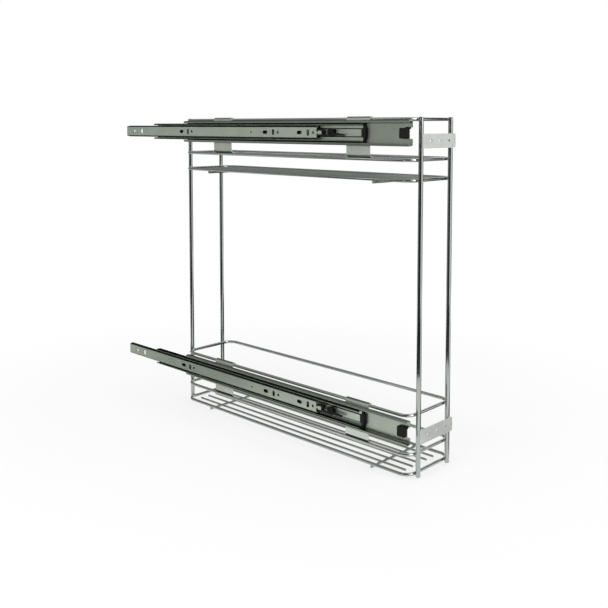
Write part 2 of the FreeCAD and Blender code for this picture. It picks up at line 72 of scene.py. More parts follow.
def middle_of(node):
    low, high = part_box(node)
    return (low + high) / 2


def radius_of(node):
    """The radius of a node's level wires."""
    low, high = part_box(node)
    return (high.z - low.z) / 2


def post_centres():
    return [middle_of(name) for name in POSTS]


# Small helpers for modelling

def deselect():
    bpy.ops.object.select_all(action="DESELECT")


def select_only(obj):
    deselect()
    obj.select_set(True)
    bpy.context.view_layer.objects.active = obj


def take_active(name):
    """Names the object that an operator has just added."""
    made = bpy.context.object
    made.name = name
    made.data.name = name
    return made


def apply_place(obj):
    """Moves the object's place into its mesh, so that it sits at the origin as a CAD node does."""
    select_only(obj)
    bpy.ops.object.transform_apply(location=True, rotation=True, scale=True)


def edit(obj, select):
    """Enters edit mode in face mode with only the faces for which select(face) is true."""
    select_only(obj)
    bpy.ops.object.mode_set(mode="EDIT")
    bpy.ops.mesh.select_mode(type="FACE")
    bpy.ops.mesh.select_all(action="DESELECT")
    cage = bmesh.from_edit_mesh(obj.data)
    for face in cage.faces:
        face.select_set(bool(select(face)))
    bmesh.update_edit_mesh(obj.data)


def leave_edit():
    bpy.ops.object.mode_set(mode="OBJECT")


def bevel_all(obj, width, segments, sharper_than=math.radians(30)):
    """Rounds every edge that is sharper than an angle."""
    modifier = obj.modifiers.new("Soft edges", "BEVEL")
    modifier.width = width
    modifier.segments = segments
    modifier.limit_method = "ANGLE"
    modifier.angle_limit = sharper_than
    select_only(obj)
    bpy.ops.object.modifier_apply(modifier=modifier.name)


def smooth_all(obj):
    for polygon in obj.data.polygons:
        polygon.use_smooth = True


def copies_at(template, places, name):
    """Copies a finished piece to each place, each with its own mesh, and joins them as one piece."""
    made = []
    for place in places:
        copy = template.copy()
        copy.data = template.data.copy()
        copy.data.transform(Matrix.Translation(place))
        bpy.context.collection.objects.link(copy)
        made.append(copy)
    bpy.data.objects.remove(template)
    deselect()
    for copy in made:
        copy.select_set(True)
    bpy.context.view_layer.objects.active = made[0]
    if len(made) > 1:
        bpy.ops.object.join()
    return take_active(name)


def finish_piece(obj, body, material):
    """Gives a new piece its material and its slot, and lets it ride on a body."""
    obj.data.materials.clear()
    obj.data.materials.append(material)
    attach(obj, body)


def dress(names, material):
    """Gives CAD nodes a material."""
    for name in names:
        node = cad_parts[name]
        node.data.materials.clear()
        node.data.materials.append(material)


def shade_nodes(names, angle):
    """Smooth shading for the round faces of CAD nodes, with sharp edges kept."""
    deselect()
    for name in names:
        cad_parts[name].select_set(True)
    bpy.context.view_layer.objects.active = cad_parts[names[0]]
    bpy.ops.object.shade_smooth_by_angle(angle=angle)
    deselect()


# Shader groups

NOISE_MIDDLE = 0.5                 # value that a noise pattern varies about


def new_group(name, inputs, outputs):
    tree = bpy.data.node_groups.new(name, "ShaderNodeTree")
    for label, value in inputs:
        socket = tree.interface.new_socket(label, in_out="INPUT", socket_type="NodeSocketFloat")
        socket.default_value = value
    for label in outputs:
        tree.interface.new_socket(label, in_out="OUTPUT", socket_type="NodeSocketFloat")
    return tree, tree.nodes.new("NodeGroupInput"), tree.nodes.new("NodeGroupOutput")


def add(tree, kind, **settings):
    node = tree.nodes.new(kind)
    for key, value in settings.items():
        setattr(node, key, value)
    return node


def math_node(tree, operation, first, second=None, third=None, clamp=False):
    node = add(tree, "ShaderNodeMath", operation=operation, use_clamp=clamp)
    for socket, value in zip(node.inputs, (first, second, third)):
        if value is None:
            continue
        if isinstance(value, bpy.types.NodeSocket):
            tree.links.new(value, socket)
        else:
            socket.default_value = value
    return node.outputs[0]


def noise_node(tree, vector, scale, detail, roughness=0.55):
    node = add(tree, "ShaderNodeTexNoise")
    if isinstance(scale, bpy.types.NodeSocket):
        tree.links.new(scale, node.inputs["Scale"])
    else:
        node.inputs["Scale"].default_value = scale
    node.inputs["Detail"].default_value = detail
    node.inputs["Roughness"].default_value = roughness
    tree.links.new(vector, node.inputs["Vector"])
    return node.outputs["Fac"]


def rolled_grain_group():
    """Fine lines along X that rolling leaves in sheet steel, and a height for them."""
    tree, inside, outside = new_group(
        "Rolled grain", (("Fineness", 900.0), ("Length", 8.0), ("Strength", 1.0)), ("Grain", "Height")
    )
    coordinates = add(tree, "ShaderNodeTexCoord")
    stretch = add(tree, "ShaderNodeCombineXYZ")
    tree.links.new(inside.outputs["Length"], stretch.inputs["X"])
    tree.links.new(inside.outputs["Fineness"], stretch.inputs["Y"])
    tree.links.new(inside.outputs["Fineness"], stretch.inputs["Z"])
    scaled = add(tree, "ShaderNodeVectorMath", operation="MULTIPLY")
    tree.links.new(coordinates.outputs["Object"], scaled.inputs[0])
    tree.links.new(stretch.outputs[0], scaled.inputs[1])
    lines = noise_node(tree, scaled.outputs[0], scale=1.0, detail=3.0)
    centred = math_node(tree, "SUBTRACT", lines, NOISE_MIDDLE)
    grain = math_node(tree, "MULTIPLY_ADD", centred, inside.outputs["Strength"], NOISE_MIDDLE)
    tree.links.new(grain, outside.inputs["Grain"])
    tree.links.new(lines, outside.inputs["Height"])
    return tree


def blotch_group():
    """Slow cloudy change over a surface and fine speckles, with their contrast as an input."""
    speckles_per_cloud = 22.0
    tree, inside, outside = new_group(
        "Cloudy finish", (("Scale", 20.0), ("Contrast", 1.0)), ("Cloud", "Speckle")
    )
    coordinates = add(tree, "ShaderNodeTexCoord")
    cloud = noise_node(tree, coordinates.outputs["Object"], inside.outputs["Scale"], detail=4.0)
    fine = math_node(tree, "MULTIPLY", inside.outputs["Scale"], speckles_per_cloud)
    speckle = noise_node(tree, coordinates.outputs["Object"], fine, detail=2.0, roughness=0.7)
    contrast = inside.outputs["Contrast"]
    for source, label in ((cloud, "Cloud"), (speckle, "Speckle")):
        centred = math_node(tree, "SUBTRACT", source, NOISE_MIDDLE)
        shaped = math_node(tree, "MULTIPLY_ADD", centred, contrast, NOISE_MIDDLE, clamp=True)
        tree.links.new(shaped, outside.inputs[label])
    return tree


def scratch_group():
    """Sparse hairline scratches in two directions, from 0 to 1."""
    directions = ((0.5, 14.0), (-0.9, 18.0))   # turn in radians, and how much narrower than long
    side_turn = 0.6                            # share of the turn that is made round Y
    rarity = 0.71                              # noise above this is a scratch
    tree, inside, outside = new_group(
        "Hairline scratches", (("Scale", 60.0), ("Amount", 0.5)), ("Scratch",)
    )
    coordinates = add(tree, "ShaderNodeTexCoord")
    found = []
    for turn, squeeze in directions:
        mapping = add(tree, "ShaderNodeMapping")
        mapping.inputs["Rotation"].default_value = (turn, turn * side_turn, turn)
        mapping.inputs["Scale"].default_value = (1.0, squeeze, squeeze)
        tree.links.new(coordinates.outputs["Object"], mapping.inputs["Vector"])
        lines = noise_node(tree, mapping.outputs[0], inside.outputs["Scale"], detail=1.0)
        found.append(math_node(tree, "GREATER_THAN", lines, rarity))
    both = math_node(tree, "MAXIMUM", found[0], found[1])
    amount = math_node(tree, "MULTIPLY", both, inside.outputs["Amount"])
    tree.links.new(amount, outside.inputs["Scratch"])
    return tree


def painted_shade_mask_group():
    """0 on flat webs, and up to 1 on faces that slope up or down, as rolled lips and bends do: a mask for
    painted shade.

    It rises between the slopes Begin and End. Top is how much of it the faces that look up get.
    """
    tree, inside, outside = new_group(
        "Painted shade on edges", (("Begin", 0.05), ("End", 0.45), ("Top", 1.0)), ("Edge",)
    )
    coordinates = add(tree, "ShaderNodeTexCoord")
    parts = add(tree, "ShaderNodeSeparateXYZ")
    tree.links.new(coordinates.outputs["Normal"], parts.inputs[0])
    above = math_node(tree, "MULTIPLY", parts.outputs["Z"], inside.outputs["Top"])
    below = math_node(tree, "MULTIPLY", parts.outputs["Z"], -1.0)
    steep = math_node(tree, "MAXIMUM", above, below)
    ramp = add(tree, "ShaderNodeMapRange", interpolation_type="SMOOTHSTEP")
    tree.links.new(steep, ramp.inputs["Value"])
    tree.links.new(inside.outputs["Begin"], ramp.inputs["From Min"])
    tree.links.new(inside.outputs["End"], ramp.inputs["From Max"])
    tree.links.new(ramp.outputs["Result"], outside.inputs["Edge"])
    return tree


def group(name, build):
    """The shader group of this name, built once."""
    return bpy.data.node_groups.get(name) or build()


def place_group(tree, source, **values):
    node = add(tree, "ShaderNodeGroup")
    node.node_tree = source
    for label, value in values.items():
        node.inputs[label].default_value = value
    return node


# Materials

GRAZING_TINT = (0.35, 0.37, 0.34, 1.0)     # oily zinc mirrors little at a low angle


def new_material(name, **sockets):
    """A material with one Principled BSDF, whose plain values are set on its own sockets."""
    material = bpy.data.materials.new(name)
    material.use_nodes = True
    shader = material.node_tree.nodes["Principled BSDF"]
    for label, value in sockets.items():
        shader.inputs[label.replace("_", " ")].default_value = value
    return material, material.node_tree, shader


def mixed_colour(tree, factor, first, second):
    node = add(tree, "ShaderNodeMix", data_type="RGBA")
    tree.links.new(factor, node.inputs["Factor"])
    for socket, value in ((node.inputs["A"], first), (node.inputs["B"], second)):
        if isinstance(value, bpy.types.NodeSocket):
            tree.links.new(value, socket)
        else:
            socket.default_value = (*value, 1.0)
    return node.outputs["Result"]


def scaled_colour(colour, factor):
    return [min(1.0, channel * factor) for channel in colour]


def span(tree, value, low, high):
    """Maps a value from 0 to 1 onto low to high."""
    node = add(tree, "ShaderNodeMapRange")
    node.inputs["To Min"].default_value = low
    node.inputs["To Max"].default_value = high
    tree.links.new(value, node.inputs["Value"])
    return node.outputs["Result"]


def bump(tree, shader, height, strength, distance):
    node = add(tree, "ShaderNodeBump")
    node.inputs["Strength"].default_value = strength
    node.inputs["Distance"].default_value = distance
    tree.links.new(height, node.inputs["Height"])
    tree.links.new(node.outputs["Normal"], shader.inputs["Normal"])


def chrome_material(name, colour, roughness):
    """Bright chrome plating with faint haze, a fine ripple and hairlines."""
    haze_shade = 0.9                           # share of the colour
    clear, hazy = 0.6, 1.5                     # shares of the roughness
    hairline_roughness = 0.18
    material, tree, shader = new_material(name, Metallic=1.0)
    cloud = place_group(tree, group("Cloudy finish", blotch_group), Scale=26.0, Contrast=1.6)
    scratch = place_group(tree, group("Hairline scratches", scratch_group), Scale=110.0, Amount=0.5)
    haze = mixed_colour(tree, cloud.outputs["Cloud"], scaled_colour(colour, haze_shade), colour)
    tree.links.new(haze, shader.inputs["Base Color"])
    smooth = span(tree, cloud.outputs["Cloud"], roughness * clear, roughness * hazy)
    marked = math_node(tree, "MULTIPLY_ADD", scratch.outputs["Scratch"], hairline_roughness, smooth)
    tree.links.new(marked, shader.inputs["Roughness"])
    bump(tree, shader, cloud.outputs["Speckle"], strength=0.05, distance=0.12 * MM)
    return material


def rolled_steel_material(name, colour, roughness, cloudiness=1.4, painted_edge_shade=0.3, painted_edge_top=1.0,
                          painted_edge_reach=(0.05, 0.45)):
    """Zinc-plated rolled steel: lines along the rail, cloudy plating, hairlines and painted shade on rolled
    edges.
    """
    thin_plating, thick_plating = 0.82, 1.1    # shares of the colour
    line_shade, line_strength = 0.7, 0.35
    speckle_shade, speckle_strength = 1.3, 0.3
    fine, coarse = 0.8, 1.25                   # shares of the roughness
    hairline_polish = -0.12                    # a hairline is smoother than the plating
    material, tree, shader = new_material(name, Metallic=1.0, Specular_Tint=GRAZING_TINT)
    grain = place_group(tree, group("Rolled grain", rolled_grain_group),
                        Fineness=1400.0, Length=9.0, Strength=1.3)
    cloud = place_group(tree, group("Cloudy finish", blotch_group), Scale=32.0, Contrast=cloudiness)
    scratch = place_group(tree, group("Hairline scratches", scratch_group), Scale=90.0, Amount=0.8)
    edge = place_group(tree, group("Painted shade on edges", painted_shade_mask_group),
                       Begin=painted_edge_reach[0], End=painted_edge_reach[1], Top=painted_edge_top)
    plated = mixed_colour(tree, cloud.outputs["Cloud"], scaled_colour(colour, thin_plating),
                          scaled_colour(colour, thick_plating))
    lines = span(tree, grain.outputs["Grain"], 0.0, line_strength)
    lined = mixed_colour(tree, lines, plated, scaled_colour(colour, line_shade))
    speckles = span(tree, cloud.outputs["Speckle"], 0.0, speckle_strength)
    speckled = mixed_colour(tree, speckles, lined, scaled_colour(colour, speckle_shade))
    # painted shade: the colour darkens on faces that slope up or down, such as rolled lips and bends
    rolled = mixed_colour(tree, edge.outputs["Edge"], speckled, scaled_colour(colour, painted_edge_shade))
    tree.links.new(rolled, shader.inputs["Base Color"])
    uneven = span(tree, grain.outputs["Grain"], roughness * fine, roughness * coarse)
    marked = math_node(tree, "MULTIPLY_ADD", scratch.outputs["Scratch"], hairline_polish, uneven)
    tree.links.new(marked, shader.inputs["Roughness"])
    bump(tree, shader, grain.outputs["Height"], strength=0.12, distance=0.08 * MM)
    return material


def satin_coat_material(name, colour, roughness):
    """Pale satin coating with a faint mottle."""
    thin_coat, thick_coat = 0.9, 1.05          # shares of the colour
    speckle_shade, speckle_strength = 0.8, 0.25
    fine, coarse = 0.8, 1.2                    # shares of the roughness
    material, tree, shader = new_material(name, Metallic=0.35)
    cloud = place_group(tree, group("Cloudy finish", blotch_group), Scale=60.0, Contrast=1.8)
    coat = mixed_colour(tree, cloud.outputs["Cloud"], scaled_colour(colour, thin_coat),
                        scaled_colour(colour, thick_coat))
    speckles = span(tree, cloud.outputs["Speckle"], 0.0, speckle_strength)
    speckled = mixed_colour(tree, speckles, coat, scaled_colour(colour, speckle_shade))
    tree.links.new(speckled, shader.inputs["Base Color"])
    uneven = span(tree, cloud.outputs["Speckle"], roughness * fine, roughness * coarse)
    tree.links.new(uneven, shader.inputs["Roughness"])
    bump(tree, shader, cloud.outputs["Speckle"], strength=0.1, distance=0.06 * MM)
    return material


def moulded_material(name, colour, roughness, grain_depth):
    """Moulded black plastic or rubber with a fine grain and dusty high spots."""
    dust_shade, dust_strength = 2.5, 0.3
    fine, coarse = 0.85, 1.15                  # shares of the roughness
    material, tree, shader = new_material(name, Metallic=0.0, Specular_IOR_Level=0.12)
    cloud = place_group(tree, group("Cloudy finish", blotch_group), Scale=140.0, Contrast=1.5)
    dust = span(tree, cloud.outputs["Cloud"], 0.0, dust_strength)
    dusty = mixed_colour(tree, dust, colour, scaled_colour(colour, dust_shade))
    tree.links.new(dusty, shader.inputs["Base Color"])
    uneven = span(tree, cloud.outputs["Cloud"], roughness * fine, roughness * coarse)
    tree.links.new(uneven, shader.inputs["Roughness"])
    bump(tree, shader, cloud.outputs["Speckle"], strength=0.35, distance=grain_depth)
    return material


# Settings

class WireFinish(bpy.types.PropertyGroup):
    chrome: bpy.props.FloatVectorProperty(
        name="Chrome", description="Colour of the plated loops, from which posts and floor wires are shaded",
        subtype="COLOR", size=3, min=0.0, max=1.0, default=(0.55, 0.585, 0.56))
    roughness: bpy.props.FloatProperty(
        name="Roughness", description="Mean roughness of the plating", min=0.0, max=1.0, default=0.12)
    nugget_rise: bpy.props.FloatProperty(
        name="Nugget rise", description="How far a weld nugget stands out of the joint",
        unit="LENGTH", min=0.0, default=0.5 * MM)


class SlideFinish(bpy.types.PropertyGroup):
    zinc: bpy.props.FloatVectorProperty(
        name="Zinc", description="Colour of the plated rails", subtype="COLOR", size=3,
        min=0.0, max=1.0, default=(0.49, 0.55, 0.465))
    plate: bpy.props.FloatVectorProperty(
        name="Plate", description="Colour of the plates that carry the rails", subtype="COLOR", size=3,
        min=0.0, max=1.0, default=(0.58, 0.625, 0.565))
    bracket: bpy.props.FloatVectorProperty(
        name="Bracket", description="Colour of the door brackets", subtype="COLOR", size=3,
        min=0.0, max=1.0, default=(0.62, 0.64, 0.61))
    roughness: bpy.props.FloatProperty(
        name="Roughness", description="Mean roughness of the plated sheet", min=0.0, max=1.0, default=0.42)


class PlasticFinish(bpy.types.PropertyGroup):
    plastic: bpy.props.FloatVectorProperty(
        name="Plastic", description="Colour of the levers and end stops", subtype="COLOR", size=3,
        min=0.0, max=1.0, default=(0.006, 0.007, 0.007))
    rubber: bpy.props.FloatVectorProperty(
        name="Rubber", description="Colour of the bumpers", subtype="COLOR", size=3,
        min=0.0, max=1.0, default=(0.007, 0.007, 0.007))
    grip_ribs: bpy.props.IntProperty(
        name="Grip ribs", description="Ribs on each lever's knob", min=1, max=8, default=4)
    rib_width: bpy.props.FloatProperty(
        name="Rib width", description="Width of a grip rib", unit="LENGTH", min=0.0, default=1.1 * MM)
    rib_rise: bpy.props.FloatProperty(
        name="Rib rise", description="How far a rib stands out of the knob", unit="LENGTH",
        min=0.0, default=0.5 * MM)


class StudioSettings(bpy.types.PropertyGroup):
    floor_colour: bpy.props.FloatVectorProperty(
        name="Floor", description="Colour of the floor", subtype="COLOR", size=3,
        min=0.0, max=1.0, default=(0.93, 0.93, 0.93))
    ambient: bpy.props.FloatProperty(
        name="Ambient", description="Level of the even light from all round", min=0.0, default=0.72)
    key_power: bpy.props.FloatProperty(
        name="Key light", description="Power of the soft light on the slides' side", unit="POWER",
        min=0.0, default=14.0)
    side_power: bpy.props.FloatProperty(
        name="Side light", description="Power in watts of the light beyond the slides' rear ends",
        min=0.0, default=4.0)
    fill_power: bpy.props.FloatProperty(
        name="Fill light", description="Power of the large soft light beyond the door's end",
        unit="POWER", min=0.0, default=16.0)
    lens: bpy.props.FloatProperty(
        name="Lens", description="Focal length on a 36 mm wide sensor", unit="CAMERA", min=1.0,
        default=49.261)


# Operators

class RACK_OT_wires(bpy.types.Operator):
    """Gives the wires and posts their chrome plating"""

    bl_idname = "rack.wires"
    bl_label = "Chrome wires and posts"

    floor_painted_shade = 0.8              # shares of the loops' colour, painted shade: the floors' wires and the posts look darker than the loops
    post_painted_shade = 0.84
    post_polish = 0.8              # share of the loops' roughness

    def execute(self, context):
        finish = context.scene.rack_wire
        chrome = chrome_material("Bright chrome wire", finish.chrome, finish.roughness)
        floor_chrome = chrome_material("Chrome floor wire", scaled_colour(finish.chrome, self.floor_painted_shade),
                                       finish.roughness)
        post_chrome = chrome_material("Bright chrome post", scaled_colour(finish.chrome, self.post_painted_shade),
                                      finish.roughness * self.post_polish)
        loops = [f"{tier}_{kind}" for tier in TIERS for kind in ("middle_loop", "top_loop")]
        floors = [f"{tier}_{kind}" for tier in TIERS for kind in ("floor_loop", "floor_wires", "cross_wires")]
        dress(loops, chrome)
        dress(floors, floor_chrome)
        dress(POSTS, post_chrome)
        shade_nodes(loops + floors + list(POSTS), WIRE_ANGLE)
        return {"FINISHED"}


class RACK_OT_welds(bpy.types.Operator):
    """Adds the weld nuggets where wires cross each other and meet the posts"""

    bl_idname = "rack.welds"
    bl_label = "Weld nuggets"

    shade = 0.9                    # shares of the wires' colour and roughness
    dullness = 2.2
    segments = 14
    rings = 9
    waist = 0.35                   # half the height of the band that bulges, of a radius of 1
    bulge = 1.06
    unevenness = 0.06
    post_weld_depth = 1.1 * MM     # nuggets' radii across the joint, without their rise
    crossing_depth = 0.7 * MM
    end_depth = 0.8 * MM
    post_weld_height = 0.75        # nuggets' other radii, as shares of the wires'
    crossing_cross = 0.9
    crossing_along = 0.95
    end_cross = 0.95
    end_along = 0.8
    floor_wire_count = 5

    def nugget(self, size):
        """An uneven flattened nugget, squeezed out of a joint, from its radii along X, Y and Z."""
        deselect()
        bpy.ops.mesh.primitive_uv_sphere_add(segments=self.segments, ring_count=self.rings,
                                             radius=1.0, location=(0, 0, 0))
        bead = take_active("nugget")
        edit(bead, lambda face: abs(face.calc_center_median().z) < self.waist)
        bpy.ops.transform.resize(value=(self.bulge, self.bulge, 1.0), center_override=(0, 0, 0))
        bpy.ops.mesh.select_all(action="SELECT")
        bpy.ops.transform.vertex_random(offset=self.unevenness, uniform=0.2, normal=0.6, seed=3)
        bpy.ops.transform.resize(value=size, center_override=(0, 0, 0))
        leave_edit()
        smooth_all(bead)
        return bead

    def post_joints(self):
        """Where the loops meet the posts."""
        joints = []
        for tier in TIERS:
            for kind in ("floor_loop", "middle_loop", "top_loop"):
                loop_low, loop_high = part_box(f"{tier}_{kind}")
                height = (loop_low.z + loop_high.z) / 2
                for post in post_centres():
                    side = loop_high.x if post.x > 0 else loop_low.x
                    joints.append(Vector((side, post.y, height)))
        return joints

    def floor_joints(self, wire, cross, runner):
        """Where the cross wires meet the lengthwise wires and the floor loop, from the wires' radii."""
        crossings, ends = [], []
        for tier in TIERS:
            low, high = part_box(f"{tier}_cross_wires")
            loop_low, loop_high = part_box(f"{tier}_floor_loop")
            wires_low, wires_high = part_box(f"{tier}_floor_wires")
            pitch = (wires_high.y - wires_low.y - 2 * runner) / (self.floor_wire_count - 1)
            for x in (low.x + cross, high.x - cross):
                for i in range(self.floor_wire_count):
                    crossings.append(Vector((x, wires_low.y + runner + i * pitch, high.z)))
                for y in (loop_low.y + wire, loop_high.y - wire):
                    ends.append(Vector((x, y, high.z)))
        return crossings, ends

    def execute(self, context):
        finish = context.scene.rack_wire
        rise = finish.nugget_rise
        weld = chrome_material("Chrome over welds", scaled_colour(finish.chrome, self.shade),
                               finish.roughness * self.dullness)
        wire = radius_of("lower_top_loop")
        cross = radius_of("lower_cross_wires")
        runner = radius_of("lower_floor_wires")
        crossings, ends = self.floor_joints(wire, cross, runner)
        post_size = (self.post_weld_depth + rise, wire + rise, wire * self.post_weld_height)
        crossing_size = (cross * self.crossing_cross, runner * self.crossing_along,
                         self.crossing_depth + rise)
        end_size = (cross * self.end_cross, wire * self.end_along, self.end_depth + rise)
        for name, size, places in (("post_welds", post_size, self.post_joints()),
                                   ("floor_welds", crossing_size, crossings),
                                   ("cross_wire_welds", end_size, ends)):
            nuggets = copies_at(self.nugget(size), places, name)
            finish_piece(nuggets, "rack", weld)
        return {"FINISHED"}


class RACK_OT_slides(bpy.types.Operator):
    """Gives the rails, cages, balls, pins and rivets their plated steel"""

    bl_idname = "rack.slides"
    bl_label = "Slides"

    # Kinds of node, material, shade of the zinc, share of the roughness, and what else differs
    # The edge shades are painted shade on the rails' lips and in the gaps between the rails
    steel_looks = (
        (("rack_rail",), "Zinc on rack rail", 0.9, 0.85, {"painted_edge_shade": 0.6}),
        (("middle_rail",), "Zinc on middle rail", 1.1, 1.0, {"painted_edge_shade": 0.04}),
        (("cabinet_rail",), "Zinc on cabinet rail", 1.05, 1.25, {"painted_edge_shade": 0.1}),
        (("inner_ball_cage", "outer_ball_cage"), "Pressed cage steel", 0.8, 1.0, {}),
        (("lever_pin", "rail_rivets"), "Zinc on rivets", 1.15, 0.8, {"cloudiness": 0.8}),
    )
    ball_colour = (0.72, 0.73, 0.74)
    ball_roughness = 0.08

    def execute(self, context):
        finish = context.scene.rack_slide
        looks = []
        for kinds, name, shade, share, others in self.steel_looks:
            steel = rolled_steel_material(name, scaled_colour(finish.zinc, shade), finish.roughness * share,
                                          **others)
            looks.append((kinds, steel))
        balls = chrome_material("Bearing steel", self.ball_colour, self.ball_roughness)
        looks.append((("inner_balls", "outer_balls"), balls))
        for kinds, material in looks:
            names = [f"{tier}_{kind}" for tier in TIERS for kind in kinds]
            dress(names, material)
            shade_nodes(names, SHEET_ANGLE)
        return {"FINISHED"}


class RACK_OT_plates(bpy.types.Operator):
    """Gives the carrier plates and door brackets their finishes"""

    bl_idname = "rack.plates"
    bl_label = "Plates and brackets"

    # Tier, shade of the plates' colour, and how the bends darken: lit and shaded copies of one zinc, with
    # painted light that makes the lower plates paler and painted shade on their bends
    plate_painted_light_and_shade = (
        ("lower", 1.18, {"painted_edge_shade": 0.06, "painted_edge_top": 0.045, "painted_edge_reach": (0.0, 0.06)}),
        ("upper", 1.0, {"painted_edge_shade": 0.35, "painted_edge_top": 0.4}),
    )
    plate_dullness = 1.25          # share of the rails' roughness
    plate_cloudiness = 1.8
    bracket_roughness = 0.38

    def execute(self, context):
        finish = context.scene.rack_slide
        bracket = satin_coat_material("Pale satin bracket", finish.bracket, self.bracket_roughness)
        plates = []
        for tier, shade, bends in self.plate_painted_light_and_shade:
            plate = rolled_steel_material(f"Zinc on {tier} plates", scaled_colour(finish.plate, shade),
                                          finish.roughness * self.plate_dullness,
                                          self.plate_cloudiness, **bends)
            pair = [f"{tier}_rear_plate", f"{tier}_front_plate"]
            dress(pair, plate)
            plates += pair
        brackets = [f"{tier}_door_bracket" for tier in TIERS]
        dress(brackets, bracket)
        shade_nodes(plates + brackets, SHEET_ANGLE)
        return {"FINISHED"}


class RACK_OT_plastics(bpy.types.Operator):
    """Gives the levers, end stops and bumpers their black finishes"""

    bl_idname = "rack.plastics"
    bl_label = "Plastic and rubber"

    plastic_roughness = 0.38
    plastic_grain = 0.04 * MM
    rubber_roughness = 0.6
    rubber_grain = 0.06 * MM

    def execute(self, context):
        finish = context.scene.rack_plastic
        plastic = moulded_material("Moulded black plastic", finish.plastic, self.plastic_roughness,
                                   self.plastic_grain)
        rubber = moulded_material("Matt black rubber", finish.rubber, self.rubber_roughness,
                                  self.rubber_grain)
        names = [f"{tier}_{kind}" for tier in TIERS for kind in ("release_lever", "middle_end_stop")]
        bumpers = [f"{tier}_rail_bumper" for tier in TIERS]
        dress(names, plastic)
        dress(bumpers, rubber)
        shade_nodes(names + bumpers, SHEET_ANGLE)
        return {"FINISHED"}


class RACK_OT_grips(bpy.types.Operator):
    """Adds the grip ribs on each release lever's knob"""

    bl_idname = "rack.grips"
    bl_label = "Grip ribs"

    knob_from_tip = 29.4 * MM      # lever's front tip to the knob's rear end
    knob_length = 12.5 * MM
    rib_length = 7.6 * MM
    rib_sink = 0.05 * MM           # how far a rib's foot lies in the knob
    rib_taper = 0.2                # shares of the rib's width
    rib_rounding = 0.12
    rib_crown = 0.4                # share of the rib's rise that the crown adds
    rib_front = -0.9               # faces whose normal's Y is lower are a rib's front
    bevel_segments = 2

    def rib(self, width, rise):
        """A bar with a tapered, rounded top that faces -Y."""
        deselect()
        bpy.ops.mesh.primitive_cube_add(size=1.0, location=(0, 0, 0))
        bar = take_active("rib")
        bar.scale = (width, rise, self.rib_length)
        apply_place(bar)
        edit(bar, lambda face: face.normal.y < self.rib_front)
        bpy.ops.mesh.inset(thickness=width * self.rib_taper, depth=0.0)
        bpy.ops.transform.translate(value=(0, -rise * self.rib_crown, 0))
        leave_edit()
        bevel_all(bar, width * self.rib_rounding, self.bevel_segments)
        smooth_all(bar)
        return bar

    def execute(self, context):
        finish = context.scene.rack_plastic
        count = finish.grip_ribs
        plastic = bpy.data.materials["Moulded black plastic"]
        for tier in TIERS:
            low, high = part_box(f"{tier}_release_lever")
            knob_rear = high.x - self.knob_from_tip
            pitch = self.knob_length / (count + 1)
            middle_z = middle_of(f"{tier}_lever_pin").z
            face_y = low.y - finish.rib_rise / 2 + self.rib_sink
            places = [Vector((knob_rear + (i + 1) * pitch, face_y, middle_z)) for i in range(count)]
            ribs = copies_at(self.rib(finish.rib_width, finish.rib_rise), places, f"{tier}_lever_grip")
            finish_piece(ribs, f"{tier}_lever", plastic)
        return {"FINISHED"}


